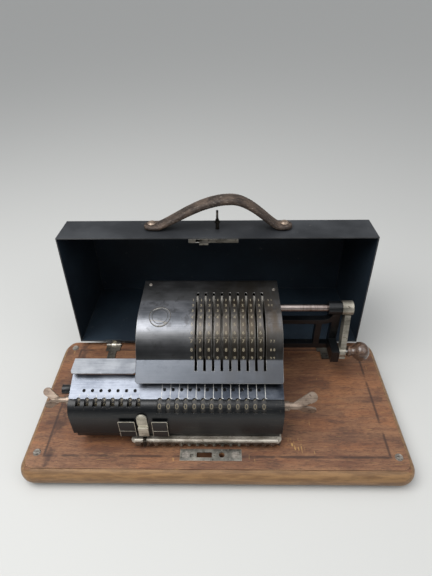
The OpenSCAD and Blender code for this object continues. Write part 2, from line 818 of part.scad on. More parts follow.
module carriage_body() {
  color("black") on_board() difference() {
    union() {
      along_x(carriage_x0, carriage_x1) difference() {
        carriage_outline(0);
        carriage_outline(shell);
        // open back for the pinions, and open top under the plate
        translate([carriage_back - 5, carriage_low + 14]) square([10, 60]);
        polygon([top_front + [1, -6], top_back + [5, -6], top_back + [5, 6], top_front + [1, 6]]);
      }
      for (x = [carriage_x0, divider_x0, carriage_x1 - end_t]) along_x(x, x + end_t) carriage_outline(0.02);
      // sole that runs on the rails, with a tongue between them
      block(
        [carriage_x0 + 2, front_y + 2.5, rail_top + gap],
        [carriage_x1 - 2, carriage_back, carriage_low + 0.4]
      );
      block(
        [carriage_x0 + 2, rail_tongue_y + gap, base_top + 1],
        [carriage_x1 - 2, rail_back_y - 8 - gap, rail_top + 1]
      );
      // round boss beside the left end
      rod(carriage_x0 - 9, carriage_x0 + 1, end_boss_at, 4.6);
      // guards on both sides of the latch, each on a spacer
      for (x = [[guard_x0, latch_x0 - 2.4], [latch_x1 + 4.4, guard_x1]]) {
        block([x[0], front_y - guard_out, guard_z0], [x[1], front_y - guard_out + 1.3, guard_z1]);
        block([x[0] + 3, front_y - guard_out + 1, guard_z0 + 3], [x[1] - 3, front_y + 0.5, guard_z1 - 3]);
      }
    }
    rod(divider_x1 - shaft_seat, carriage_x1 + 1, result_at, wheel_shaft_r + run_fit);
    rod(carriage_x0 - 1, divider_x0 + shaft_seat, counter_at, wheel_shaft_r + run_fit);
    // windows over the wheels, cut through the rounded front
    windows();
  }
}

// slot in the rounded front, with a round end in the top plate's edge
module window(x, z) {
  y1 = top_front[0] + 1.4 - window_half_w;
  block([x - window_half_w, front_y - 1, z], [x + window_half_w, y1, 66]);
  translate([x, y1, z]) cylinder(h = 66 - z, r = window_half_w);
}

module windows() {
  for (i = [1:result_digits]) window(result_wheel_x(i), result_window_z);
  for (i = [1:counter_digits]) window(counter_wheel_x(i), counter_window_z);
}

module carriage_top() {
  deep_back = top_back + top_deep * [1, tan(top_slope)];
  color("lightgray") on_board() difference() {
    union() {
      along_x(carriage_x0, carriage_x1)
        polygon([top_front, top_back, top_back - [0, top_sheet], top_front - [0, top_sheet]]);
      along_x(carriage_x0, top_deep_x)
        polygon([top_front, deep_back, deep_back - [0, top_sheet], top_front - [0, top_sheet]]);
    }
    windows();
    for (i = [1:result_digits - 1])
      translate([result_wheel_x(i) + pitch / 2, 47.6, 50]) cylinder(h = 30, r = marker_r);
    for (i = [1:counter_digits - 1])
      translate([counter_wheel_x(i) + pitch / 2, 46.4, 50]) cylinder(h = 30, r = marker_r);
  }
}

module transfer_pinions() {
  color("goldenrod") on_board() {
    rod(divider_x1, carriage_x1 - end_t, pinion_at + [-1, 0], 1.8);
    for (i = [1:result_digits]) {
      x = result_wheel_x(i) + drum_t / 2;
      along_x(x + 0.3, x + wheel_gear_t) translate(pinion_at) for (k = [0:4]) rotate(72 * k + 36) {
        translate([-1, 0]) square([2, 7.1]);
        circle(4);
      }
    }
  }
}

// leaf of a wing nut, standing out along x and away from the axis
module wing_leaf_shape(reach, spread, leaf_r) {
  linear_extrude(wing_leaf, center = true) hull() {
    translate([2, 0]) circle(3, $fn = 32);
    translate([reach - leaf_r, spread]) circle(leaf_r, $fn = 32);
  }
}

module result_wing() {
  x0 = carriage_x1;
  color("silver") on_board() {
    rod(divider_x1 - shaft_seat + 0.1, x0 + gap + 0.1, result_at, wheel_shaft_r);
    rod(x0 + gap, x0 + 6.5, result_at, 5);
    rod(x0 + 6.5, x0 + 14.5, result_at, 3.6);
    translate([x0 + 14.4, result_at[0], result_at[1]]) rotate([0, 90, 0])
      cylinder(h = 5.8, r1 = 3.6, r2 = 1.9);
    translate([x0 + 9, result_at[0], result_at[1]]) rotate([52, 0, 0]) {
      wing_leaf_shape(26, 9, 5.4);
      rotate([180 + wing_bend, 0, 0]) wing_leaf_shape(26, 9, 5.4);
    }
  }
}

module counter_wing() {
  x0 = carriage_x0;
  color("silver") on_board() {
    rod(x0 - gap - 0.1, divider_x0 + shaft_seat - 0.1, counter_at, wheel_shaft_r);
    rod(x0 - 4.5, x0 - gap, counter_at, 4.4);
    rod(x0 - 15, x0 - 4.5, counter_at, 2.6);
    translate([x0 - 14.9, counter_at[0], counter_at[1]]) rotate([0, -90, 0])
      cylinder(h = 4.8, r1 = 2.6, r2 = 1.7);
    translate([x0 - 12, counter_at[0], counter_at[1]]) rotate([40, 0, 0]) mirror([1, 0, 0]) {
      wing_leaf_shape(17, 8, 4.2);
      rotate([180 + wing_bend, 0, 0]) wing_leaf_shape(17, 8, 4.2);
    }
  }
}

// tab that lifts the pawl out of the rail's notches, between the two guards
module carriage_latch() {
  y1 = front_y - 0.35;
  mid = (latch_x0 + latch_x1) / 2;
  r = (latch_x1 - latch_x0) / 2;
  color("lightgray") on_board() {
    block([latch_x0, y1 - latch_t, 20], [latch_x1, y1, 47]);
    block([latch_x0, y1 - 3, 20], [latch_x1, y1, 33]);
    block([latch_x0, y1 - 2, 37], [latch_x1, y1, 47]);
    translate([mid, y1, 47]) rotate([90, 0, 0]) cylinder(h = 2, r = r);
    // arm and pawl in front of the rail
    block([mid - 1.6, y1 - 0.8, 16.6], [mid + 1.6, y1, 21]);
    block([mid - 1.6, rail_front_y - 2.6, 14.8], [mid + 1.6, y1, 16.6]);
    block([mid - 1.6, rail_front_y - 2.6, 7.5], [mid + 1.6, rail_front_y - 0.5, 15]);
  }
}

module setting_lever(i) {
  color("silver") on_board() translate([slot_x(i) - lever_t / 2, rotor_at[0], rotor_at[1]])
    rotate([90, 0, 90]) linear_extrude(lever_t) difference() {
      union() {
        circle(30, $fn = 96);
        intersection() {
          circle(tip_r, $fn = 96);
          rotate(-lever_rest) polygon([[-4.5, 25], [4.5, 25], [2.2, 44], [2, 60], [-2, 60], [-2.2, 44]]);
        }
      }
      circle(hub_r + run_fit, $fn = 96);
    }
}

// numbered drum with its small gear
module wheel(x, at, drum_radius) {
  gear_r = drum_radius - 2;
  color("ivory") on_board() difference() {
    union() {
      rod(x - drum_t / 2, x + drum_t / 2, at, drum_radius);
      along_x(x + drum_t / 2 - 0.1, x + drum_t / 2 + wheel_gear_t)
        translate(at) for (k = [0:9]) rotate(36 * k) {
        translate([-0.9, 0]) square([1.8, gear_r]);
        circle(gear_r - 2.4);
      }
    }
    rod(x - 10, x + 10, at, wheel_shaft_r + run_fit);
  }
}

base_board();
screws();
striker_plate();
hinge_straps();
cover_shell();
cover_hinge_leaves();
lock_case();
lock_bolt();
key();
handle_strap();
handle_screws();
machine_base();
left_frame();
right_frame();
hood();
guard_plate();
crank_bracket();
rotor_shaft();
pinwheels();
idler_gear();
crank_shaft();
crank_arm_plate();
crank_knob();
lock_pin();
carriage_body();
carriage_top();
transfer_pinions();
result_wing();
counter_wing();
carriage_latch();
for (i = [1:levers])
  setting_lever(i);
for (i = [1:result_digits])
  wheel(result_wheel_x(i), result_at, drum_r);
for (i = [1:counter_digits])
  wheel(counter_wheel_x(i), counter_at, counter_r);
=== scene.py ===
import math
import bmesh
import bpy
from mathutils import Matrix, Vector


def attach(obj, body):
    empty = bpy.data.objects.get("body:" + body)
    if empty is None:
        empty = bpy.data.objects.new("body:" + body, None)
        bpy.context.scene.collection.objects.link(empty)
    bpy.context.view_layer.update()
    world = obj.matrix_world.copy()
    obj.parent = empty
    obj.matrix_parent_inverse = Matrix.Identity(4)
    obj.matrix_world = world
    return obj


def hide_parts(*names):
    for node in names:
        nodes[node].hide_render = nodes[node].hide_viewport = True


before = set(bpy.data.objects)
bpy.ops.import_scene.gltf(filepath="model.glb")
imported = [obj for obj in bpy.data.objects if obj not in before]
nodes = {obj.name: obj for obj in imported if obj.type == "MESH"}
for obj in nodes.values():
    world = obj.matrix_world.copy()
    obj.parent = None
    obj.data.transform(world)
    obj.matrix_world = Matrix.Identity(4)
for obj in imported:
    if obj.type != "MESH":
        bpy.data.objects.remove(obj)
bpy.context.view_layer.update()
print("frame loaded")

# places are in millimetres from the middle of the board's front top edge, as in the part's source
layout = {
    "boardDepth": 176, "boardThick": 25,
    "pitch": 8.55, "leverX": 49, "levers": 9,
    "resultX": 47.6, "resultDigits": 13, "counterX": -75.8, "counterDigits": 8,
    "rotor": (108, 72), "hoodRadius": 45.5, "knob": (125.31, 37.23),
    "result": (42, 45.6), "drumRadius": 13.5, "counter": (43.5, 52.2), "counterRadius": 8.2,
    "plateFront": (38.5, 60.4), "plateSlope": 20.6,
    "hinge": (170.6, 1), "openAngle": 93.5,
}


def spot(x, y, z):
    return Vector((x, y - layout["boardDepth"] / 2, z + layout["boardThick"])) / 1000


def opened():  # carries the closed cover's places to the open cover
    pivot = Matrix.Translation(spot(0, *layout["hinge"]))
    return pivot @ Matrix.Rotation(math.radians(-layout["openAngle"]), 4, "X") @ pivot.inverted()


def tone(red, green, paintedDarkReflection):  # a colour as seen on a screen, 0 to 255, as a linear one
    screen = [c / 255 for c in (red, green, paintedDarkReflection)]
    return tuple(((c + 0.055) / 1.055) ** 2.4 if c > 0.04 else c / 12.92 for c in screen) + (1,)


# camera

view = {"place": (10.1, -228.5, 409.1), "pitch": 38.11, "yaw": -1.59, "roll": 1.08, "lens": 27.06}


def makeCamera():
    pitch, yaw, roll = (math.radians(view[k]) for k in ("pitch", "yaw", "roll"))
    ahead = Vector((math.sin(yaw) * math.cos(pitch), math.cos(yaw) * math.cos(pitch), -math.sin(pitch)))
    right = Vector((math.cos(yaw), -math.sin(yaw), 0))
    down = ahead.cross(right)
    right, down = (
        math.cos(roll) * right + math.sin(roll) * down,
        math.cos(roll) * down - math.sin(roll) * right,
    )
    turn = Matrix((right, -down, -ahead)).transposed().to_4x4()
    camera = bpy.data.objects.new("camera", bpy.data.cameras.new("camera"))
    camera.data.lens = view["lens"]
    camera.data.sensor_width = 36
    camera.data.clip_start = 0.01
    camera.matrix_world = Matrix.Translation(spot(*view["place"])) @ turn
    bpy.context.collection.objects.link(camera)
    bpy.context.scene.camera = camera


makeCamera()


# shader sums written as plain expressions

class Flow:
    def __init__(self, finish, socket):
        self.finish = finish
        self.socket = socket

    def math(self, operation, *others):
        values = {i + 1: other for i, other in enumerate(others)}
        return self.finish.flow("ShaderNodeMath", {"operation": operation}, {0: self, **values})

    def __add__(self, other): return self.math("ADD", other)
    def __radd__(self, other): return self.math("ADD", other)
    def __mul__(self, other): return self.math("MULTIPLY", other)
    def __rmul__(self, other): return self.math("MULTIPLY", other)
    def __sub__(self, other): return self.math("SUBTRACT", other)
    def __abs__(self): return self.math("ABSOLUTE")

    def above(self, edge, soft):  # 0 below the edge, 1 above it
        return self.finish.span(self, edge - soft, edge + soft)

    def below(self, edge, soft):
        return self.finish.span(self, edge + soft, edge - soft)

    def near(self, middle, half, soft):  # 1 within half of the middle
        return abs(self - middle).below(half, soft)

    def most(self, other): return self.math("MAXIMUM", other)
    def least(self, other): return self.math("MINIMUM", other)


class Finish:
    def __init__(self, name):
        self.material = bpy.data.materials.new(name)
        self.material.use_nodes = True
        self.tree = self.material.node_tree
        self.shader = self.tree.nodes["Principled BSDF"]
        self.place = self.flow("ShaderNodeTexCoord", output="Object")
        parts = self.node("ShaderNodeSeparateXYZ", values={0: self.place})
        self.x, self.y, self.z = (Flow(self, parts.outputs[i]) for i in range(3))

    def node(self, kind, settings=None, values=None):
        made = self.tree.nodes.new(kind)
        for key, value in (settings or {}).items():
            setattr(made, key, value)
        for key, value in (values or {}).items():
            self.feed(made.inputs[key], value)
        return made

    def flow(self, kind, settings=None, values=None, output=0):
        return Flow(self, self.node(kind, settings, values).outputs[output])

    def feed(self, socket, value):
        if isinstance(value, Flow):
            self.tree.links.new(value.socket, socket)
        else:
            socket.default_value = value

    def set(self, **values):  # shader sockets by name, with spaces left out
        for key, value in values.items():
            for socket in self.shader.inputs:
                if socket.name.replace(" ", "").lower() == key.lower():
                    self.feed(socket, value)
                    break
        return self

    def span(self, value, low, high):
        return self.flow(
            "ShaderNodeMapRange", {"interpolation_type": "SMOOTHSTEP"},
            {"Value": value, "From Min": low, "From Max": high, "To Min": 0.0, "To Max": 1.0},
        )

    def stretched(self, stretch, shift):
        return self.flow(
            "ShaderNodeMapping", None, {"Vector": self.place, "Scale": stretch, "Location": shift},
        )

    def noise(self, stretch, detail=4.0, rough=0.55, shift=(0, 0, 0)):
        moved = self.stretched(stretch, shift)
        return self.flow(
            "ShaderNodeTexNoise", None,
            {"Vector": moved, "Scale": 1.0, "Detail": detail, "Roughness": rough},
        )

    def cells(self, stretch):
        moved = self.stretched(stretch, (0, 0, 0))
        return self.flow("ShaderNodeTexVoronoi", {"feature": "F1"}, {"Vector": moved, "Scale": 1.0})

    def mix(self, first, second, factor):
        return self.flow("ShaderNodeMix", {"data_type": "RGBA"}, {0: factor, 6: first, 7: second}, output=2)

    def bump(self, height, distance, strength):
        values = {"Height": height, "Distance": distance, "Strength": strength}
        return self.set(normal=self.flow("ShaderNodeBump", None, values))

    def worn(self):  # scattered scratches, 0 to 1
        one = self.noise((25, 900, 900), 2.0).above(0.66, 0.03)
        two = self.noise((700, 30, 700), 2.0, shift=(3, 1, 2)).above(0.67, 0.03)
        return (one + two).least(1.0)


def makeMahogany():
    f = Finish("mahoganyPolish")
    grain = f.noise((34, 300, 300), 6.0, 0.65)
    pores = f.noise((240, 1700, 1700), 3.0, 0.6).above(0.56, 0.07)
    cloud = f.noise((9, 26, 26), 4.0, 0.6, shift=(2, 0, 1))
    colour = f.mix(tone(100, 66, 48), tone(136, 98, 70), (grain * 0.7 + cloud * 0.5).above(0.6, 0.16))
    warm = f.noise((12, 60, 60), 3.0, shift=(7, 2, 4)).above(0.56, 0.1)
    colour = f.mix(colour, tone(150, 98, 62), warm * 0.45)
    colour = f.mix(colour, tone(62, 42, 34), pores * 0.6)
    # the cover's rim has left a dark line round the top
    rim = (abs(f.x) - 0.1785).most(abs(f.y - 0.0001) - 0.0756)
    line = rim.near(-0.001, 0.0012, 0.001) * f.noise((60, 60, 60), 2.0).above(0.42, 0.12)
    colour = f.mix(colour, tone(44, 30, 26), line * 0.75)
    stain = f.noise((30, 45, 30), 4.0, shift=(5, 5, 5)).above(0.6, 0.05)
    wet = f.x.near(-0.172, 0.004, 0.004) * f.noise((80, 60, 80), 4.0).above(0.48, 0.08)
    stain = (stain * 0.5 + wet).least(1.0)
    colour = f.mix(colour, tone(58, 42, 38), stain * 0.7)
    scratch = f.noise((40, 900, 40), 2.0, shift=(1, 7, 3)).above(0.7, 0.015)
    scratch = (scratch + f.noise((300, 60, 60), 2.0, shift=(8, 2, 3)).above(0.74, 0.012)).least(1.0)
    scrape = f.x.near(0.083, 0.007, 0.004) * f.y.near(-0.062, 0.007, 0.004)
    scrape = scrape * f.noise((500, 160, 90), 3.0, shift=(4, 4, 1)).above(0.6, 0.03)
    scratch = (scratch * 0.5 + scrape).least(1.0)
    colour = f.mix(colour, tone(198, 160, 96), scratch * 0.7)
    side = (abs(f.x) - 0.195).most(abs(f.y) - 0.088).above(0.0002, 0.0003)  # the moulding is paler
    olive = f.mix(tone(114, 86, 56), tone(148, 115, 76), grain.above(0.5, 0.14))
    colour = f.mix(colour, olive, side * 0.75)
    # painted shade darkens the lowest few millimetres of the moulding
    colour = f.mix(colour, tone(84, 70, 56), f.z.below(0.006, 0.003) * side * 0.7)
    f.set(basecolor=colour, roughness=0.4 + 0.2 * cloud + stain * 0.15, specularIORlevel=0.4)
    f.set(coatweight=0.08, coatroughness=0.3)
    return f.bump(grain * 0.4 - pores - scratch, 0.00012, 0.5)


def makeWornWood():
    f = Finish("mahoganyEdge")
    grain = f.noise((30, 300, 300), 4.0)
    # the eased edges are paler from worn varnish and a painted highlight along the crisp edge
    colour = f.mix(tone(120, 80, 54), tone(196, 160, 120), grain.above(0.48, 0.14))
    return f.set(basecolor=colour, roughness=0.42)


def makeGloss(name, dark, light, rough, tint):
    f = Finish(name)
    cloud = f.noise((30, 30, 30), 4.0)
    colour = f.mix(dark, light, cloud.above(0.55, 0.2))
    colour = f.mix(colour, tint, f.worn() * 0.5)
    f.set(basecolor=colour, roughness=rough + 0.12 * cloud, specularIORlevel=0.35)
    f.set(coatweight=0.1, coatroughness=0.12)
    return f.bump(cloud, 0.0002, 0.3)


def makeMetal(name, dark, light, rough, grain=(40, 700, 700), fleck=None, metal=1.0):
    f = Finish(name)
    brushed = f.noise(grain, 4.0, 0.6)
    cloud = f.noise((45, 45, 45), 5.0, 0.6, shift=(3, 3, 3))
    colour = f.mix(dark, light, (brushed * 0.4 + cloud * 0.75).above(0.56, 0.16))
    if fleck:
        spots = f.noise((260, 260, 260), 4.0, 0.7, shift=(9, 1, 4)).above(0.62, 0.04)
        colour = f.mix(colour, fleck, spots * 0.8)
    f.set(basecolor=colour, metallic=metal, roughness=rough + 0.22 * cloud + 0.1 * brushed - 0.12)
    return f.bump(brushed + f.worn() * 0.6, 0.00004, 0.6)


def makeHoodMetal():
    f = Finish("burnishedHood")
    brushed = f.noise((22, 900, 900), 4.0, 0.6)
    cloud = f.noise((32, 40, 40), 5.0, 0.6, shift=(1, 4, 2))
    burnish = (brushed * 0.22 + cloud * 0.75).above(0.5, 0.2)
    colour = f.mix(tone(88, 90, 94), tone(140, 141, 145), burnish)
    # painted shade, tinted brown, darkens the hood towards the right, away from the lamp, and over the band
    # of slots
    paintedRightShade = f.span(f.x, -0.034, 0.03) * f.noise((70, 24, 24), 4.0, shift=(4, 4, 4)).above(0.4, 0.2)
    paintedSlotShade = f.x.near(0.0145, 0.0375, 0.003) * f.z.above(0.1135, 0.0006) * f.y.below(0.034, 0.002)
    colour = f.mix(colour, tone(86, 75, 62), paintedRightShade * 0.9)
    tarnish = f.noise((90, 90, 90), 5.0, 0.7, shift=(6, 2, 8)).above(0.6, 0.06)
    colour = f.mix(colour, tone(52, 50, 48), tarnish * 0.45)
    # painted shade darkens the flat top, and a painted dark reflection darkens the lower part of the curve
    top = f.y.above(0.0335, 0.002) * f.z.above(0.13, 0.002)
    low = f.z.below(0.1355, 0.003) * f.z.above(0.1135, 0.0006)
    colour = f.mix(colour, tone(80, 79, 76), top * 0.6)
    colour = f.mix(colour, tone(60, 60, 59), low * 0.75)
    # painted shade over the band of slots
    colour = f.mix(colour, tone(66, 59, 49), paintedSlotShade * 0.6)
    colour = f.mix(colour, tone(82, 86, 92), f.z.below(0.1135, 0.0006) * 0.8)
    f.set(basecolor=colour, metallic=1.0, roughness=0.2 + 0.22 * cloud + 0.06 * brushed)
    return f.bump(brushed * 0.6 + f.worn() * 0.8, 0.00003, 0.6)


def makePlateNickel():
    f = Finish("carriagePlate")
    brushed = f.noise((26, 900, 900), 4.0, 0.6)
    cloud = f.noise((40, 60, 60), 5.0, 0.6)
    burnish = (brushed * 0.25 + cloud * 0.7).above(0.5, 0.16)
    # a painted reflection: bright nickel on the left fading to dark blue-grey on the right
    bright = f.mix(tone(84, 88, 96), tone(124, 128, 136), burnish)
    paintedDarkReflection = f.mix(tone(46, 50, 57), tone(84, 88, 95), cloud.above(0.52, 0.15))
    colour = f.mix(bright, paintedDarkReflection, f.span(f.x + cloud * 0.03, -0.05, 0.03))
    f.set(basecolor=colour, metallic=1.0, roughness=0.24 + 0.2 * cloud + 0.06 * brushed)
    return f.bump(brushed + f.worn(), 0.00003, 0.6)


def makeLeatherette(name, dark, light, grain, rough):
    f = Finish(name)
    pebbles = f.cells((grain, grain, grain))
    dust = f.noise((18, 18, 18), 4.0)
    colour = f.mix(dark, light, dust.above(0.52, 0.18))
    scuff = f.noise((120, 120, 120), 4.0, 0.7, shift=(2, 6, 2)).above(0.68, 0.04)
    colour = f.mix(colour, tone(105, 104, 100), scuff * 0.35)
    f.set(basecolor=colour, roughness=rough + 0.12 * dust, specularIORlevel=0.4)
    return f.bump(pebbles, 0.00018, 0.55)


def makeLeather():
    f = Finish("handleLeather")
    cracks = f.noise((260, 900, 900), 6.0, 0.7)
    cloud = f.noise((60, 90, 90), 5.0, 0.6, shift=(3, 2, 1))
    colour = f.mix(tone(44, 35, 30), tone(84, 70, 60), cloud.above(0.5, 0.16))
    colour = f.mix(colour, tone(150, 138, 126), cracks.above(0.61, 0.06) * 0.65)
    colour = f.mix(colour, tone(26, 20, 18), cracks.below(0.4, 0.05) * 0.8)
    f.set(basecolor=colour, roughness=0.5 + 0.2 * cloud, specularIORlevel=0.35)
    return f.bump(cracks, 0.0006, 0.6)


def makeKnobWood():
    f = Finish("knobVarnish")
    grain = f.noise((60, 700, 700), 5.0, 0.6)
    colour = f.mix(tone(54, 38, 30), tone(98, 76, 62), grain.above(0.5, 0.2))
    chips = f.noise((200, 200, 200), 4.0).above(0.66, 0.05)
    colour = f.mix(colour, tone(150, 118, 90), chips * 0.5)
    f.set(basecolor=colour, roughness=0.25 + 0.15 * grain, coatweight=0.6, coatroughness=0.12)
    return f.bump(grain, 0.00008, 0.4)


def makePlain(name, colour, rough, metal=0.0):
    f = Finish(name)
    cloud = f.noise((400, 400, 400), 4.0)
    shade = f.mix(tuple(c * 0.75 for c in colour[:3]) + (1,), colour, cloud.above(0.48, 0.15))
    return f.set(basecolor=shade, metallic=metal, roughness=rough + 0.15 * cloud)


finishes = {
    "mahogany": makeMahogany(),
    "woodEdge": makeWornWood(),
    "outerCloth": makeLeatherette("coverCloth", tone(34, 36, 39), tone(56, 58, 61), 900, 0.42),
    "innerPaper": makeLeatherette("coverLining", tone(24, 34, 44), tone(32, 45, 56), 1400, 0.55),
    "coverEdge": makeLeatherette("coverRim", tone(62, 62, 62), tone(108, 106, 102), 700, 0.5),
    "blackIron": makeGloss("blackEnamel", tone(8, 10, 12), tone(16, 18, 21), 0.26, tone(48, 46, 44)),
    "ironEdge": makeMetal("wornEdge", tone(96, 90, 82), tone(170, 164, 154), 0.34),
    "carriageBlack": makeGloss("carriageEnamel", tone(5, 7, 10), tone(16, 18, 20), 0.3, tone(66, 63, 56)),
    "hood": makeHoodMetal(),
    "hoodEdge": makeMetal("hoodEdge", tone(104, 103, 102), tone(176, 174, 170), 0.3),
    "plate": makePlateNickel(),
    "guard": makeMetal("guardNickel", tone(178, 182, 190), tone(222, 225, 230), 0.3),
    "nickel": makeMetal(
        "wornNickel", tone(150, 144, 128), tone(208, 203, 188), 0.36, fleck=tone(98, 86, 68), metal=0.7,
    ),
    "agedNickel": makeMetal(
        "agedNickel", tone(112, 108, 98), tone(182, 176, 162), 0.34, fleck=tone(70, 62, 52), metal=0.75,
    ),
    "tarnished": makeMetal(
        "tarnishedSteel", tone(84, 80, 74), tone(150, 145, 135), 0.4, fleck=tone(58, 48, 40),
    ),
    "pitted": makeMetal(
        "pittedSteel", tone(104, 102, 97), tone(172, 168, 158), 0.42, (300, 300, 300), tone(52, 48, 44),
    ),
    "steel": makeMetal("brightSteel", tone(150, 148, 144), tone(208, 206, 200), 0.26),
    "lip": makeMetal(
        "railLip", tone(118, 110, 98), tone(196, 189, 176), 0.38, fleck=tone(84, 72, 60), metal=0.4,
    ),
    "screw": makeMetal(
        "screwSteel", tone(96, 92, 86), tone(176, 168, 158), 0.36, (300, 300, 300), tone(70, 56, 48), 0.5,
    ),
    "shaftSteel": makeMetal("shaftSteel", tone(112, 98, 92), tone(176, 164, 158), 0.3, (700, 60, 60)),
    "brass": makeMetal("dullBrass", tone(120, 92, 52), tone(188, 156, 100), 0.36, fleck=tone(80, 62, 40)),
    "leather": makeLeather(),
    "thread": makePlain("handleThread", tone(96, 80, 64), 0.7),
    "knob": makeKnobWood(),
    "drum": makePlain("drumBlack", tone(34, 32, 30), 0.45),
    "ivory": makePlain("figureIvory", tone(116, 107, 86), 0.5),
    "engraved": makePlain("engravedWhite", tone(206, 204, 198), 0.5),
    "etched": makePlain("etchedBrass", tone(146, 136, 114), 0.5),
    "etchedDark": makePlain("etchedDark", tone(52, 50, 47), 0.5),
    "badge": makeMetal(
        "badgeFace", tone(104, 102, 98), tone(152, 149, 144), 0.58, (500, 500, 500), tone(64, 62, 58), 0.25,
    ),
    "leverTip": makePlain("leverSteel", tone(176, 171, 162), 0.36, 0.5),
    "bronze": makeMetal("darkBronze", tone(22, 20, 16), tone(58, 50, 38), 0.5),
    "wing": makeMetal(
        "wingBrass", tone(104, 88, 76), tone(166, 148, 132), 0.38, fleck=tone(72, 58, 48), metal=0.6,
    ),
    # painted shade: flat black for the sheet under the plate's holes
    "felt": makePlain("paintedHoleShade", tone(14, 14, 14), 0.9),
    "key": makeMetal("blackenedSteel", tone(30, 29, 28), tone(70, 66, 60), 0.4),
}
print("finishes made:", len(finishes))


# helpers for pieces

def addPiece(name, mesh, body, *finishNames, smooth=35):
    piece = bpy.data.objects.new(name, mesh)
    bpy.context.collection.objects.link(piece)
    for finishName in finishNames:
        mesh.materials.append(finishes[finishName].material)
    mesh.polygons.foreach_set("use_smooth", [True] * len(mesh.polygons))
    mesh.set_sharp_from_angle(angle=math.radians(smooth))
    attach(piece, body)
    return piece


def toMesh(name, bm, recalculate=True):
    if recalculate:
        bmesh.ops.recalc_face_normals(bm, faces=bm.faces)
    mesh = bpy.data.meshes.new(name)
    bm.to_mesh(mesh)
    bm.free()
    return mesh


def fromNode(node):  # the CAD node's shape, merged, with its flat faces joined up again
    bm = bmesh.new()
    bm.from_mesh(nodes[node].data)
    bmesh.ops.remove_doubles(bm, verts=bm.verts, dist=0.000002)
    bmesh.ops.dissolve_limit(bm, angle_limit=math.radians(0.6), verts=bm.verts, edges=bm.edges)
    return bm


def softEdged(node, body, width, faceFinish, edgeFinish=None, segments=2, sharp=30, pick=None):
    # stands for a CAD node with its edges eased, and the eased edges may have their own finish
    bm = fromNode(node)
    if pick:
        for face in bm.faces:
            face.material_index = pick(face)
    mesh = toMesh(node + "_body", bm, recalculate=False)
    names = [faceFinish] if isinstance(faceFinish, str) else list(faceFinish)
    if edgeFinish:
        names.append(edgeFinish)
    piece = addPiece(node + "_shown", mesh, body, *names)
    easing = piece.modifiers.new("eased", "BEVEL")
    easing.width = width / 1000
    easing.segments = segments
    easing.limit_method = "ANGLE"
    easing.angle_limit = math.radians(sharp)
    easing.harden_normals = True
    easing.material = len(names) - 1 if edgeFinish else -1
    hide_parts(node)


def dress(finishName, *names):
    for name in names:
        mesh = nodes[name].data
        for i in range(len(mesh.materials)):
            mesh.materials[i] = finishes[finishName].material
        if not len(mesh.materials):
            mesh.materials.append(finishes[finishName].material)


def numbered(stem, count):
    return [f"{stem}_{i + 1}" for i in range(count)]


leverNodes = numbered("setting_lever", layout["levers"])
resultNodes = numbered("result_wheel", layout["resultDigits"])
counterNodes = numbered("counter_wheel", layout["counterDigits"])

dress("tarnished", "lock_bolt", "hinge_straps")
dress("wing", "handle_screws")
dress("screw", "screws")
dress("brass", "transfer_pinions")
dress("bronze", "pinwheels")
dress("leverTip", *leverNodes)
dress("steel", "rotor_shaft", "idler_gear", "lock_pin")
dress("shaftSteel", "crank_shaft")
dress("blackIron", "left_frame", "right_frame")
dress("nickel", "cover_hinge_leaves")
dress("drum", *resultNodes, *counterNodes)
print("nodes dressed")

softEdged("base_board", "board", 0.7, "mahogany", "woodEdge", segments=3)
softEdged("crank_bracket", "board", 0.9, "blackIron", "blackIron", segments=3)
softEdged("carriage_body", "carriage", 0.25, "carriageBlack", "ironEdge", segments=1)
softEdged("carriage_top", "carriage", 0.12, "plate", "steel", segments=1)
softEdged("hood", "board", 0.3, "hood", "hoodEdge", segments=1)
softEdged("striker_plate", "board", 0.25, "pitted", "steel", segments=1)


cover = {
    "halfWidth": 178.1, "front": 12.9, "back": 163.3, "top": 121.6, "rim": 1,
    "slopeFoot": (12.5, 44), "slopeRun": (46, 78), "sheet": 0.5,
}


def coverSide(face):  # the lining is on the faces that look into the cover
    middle = (opened().inverted() @ face.calc_center_median()) * 1000
    y, z = middle.y + layout["boardDepth"] / 2, middle.z - layout["boardThick"]
    (footY, footZ), (run, climb) = cover["slopeFoot"], cover["slopeRun"]
    depth = ((y - footY) * climb - (z - footZ) * run) / math.hypot(run, climb)
    sides = abs(middle.x) > cover["halfWidth"] or z > cover["top"]
    walls = y < cover["front"] or y > cover["back"] or depth < cover["sheet"]
    return 0 if sides or walls or z < cover["rim"] else 1


softEdged(
    "cover_shell", "case_cover", 0.5, ("outerCloth", "innerPaper"), "coverEdge", segments=2, pick=coverSide,
)
print("eased pieces made")


# figures, engraved marks and the badge

def placed(bm, x0, centre, radius, angle, flatBack=False):
    # bends flat work round a cylinder along x; its own y runs up the surface
    for v in bm.verts:
        turn = math.radians(angle) - v.co.y / radius
        out = radius + v.co.z
        back = radius * max(0, -turn) if flatBack else 0  # past the top line the hood runs flat
        turn = max(0, turn) if flatBack else turn
        v.co = spot(x0 + v.co.x, centre[0] + back - math.sin(turn) * out, centre[1] + math.cos(turn) * out)


def joined(parts):
    whole = bmesh.new()
    for part in parts:
        mesh = toMesh("part", part, recalculate=False)
        whole.from_mesh(mesh)
        bpy.data.meshes.remove(mesh)
    return whole


def bar(width, height, thick):
    bm = bmesh.new()
    bmesh.ops.create_cube(bm, size=1)
    bmesh.ops.scale(bm, vec=(width, height, thick), verts=bm.verts)
    return bm


markThick = 0.05
figureRaise = 0.01
figureShapes = {}


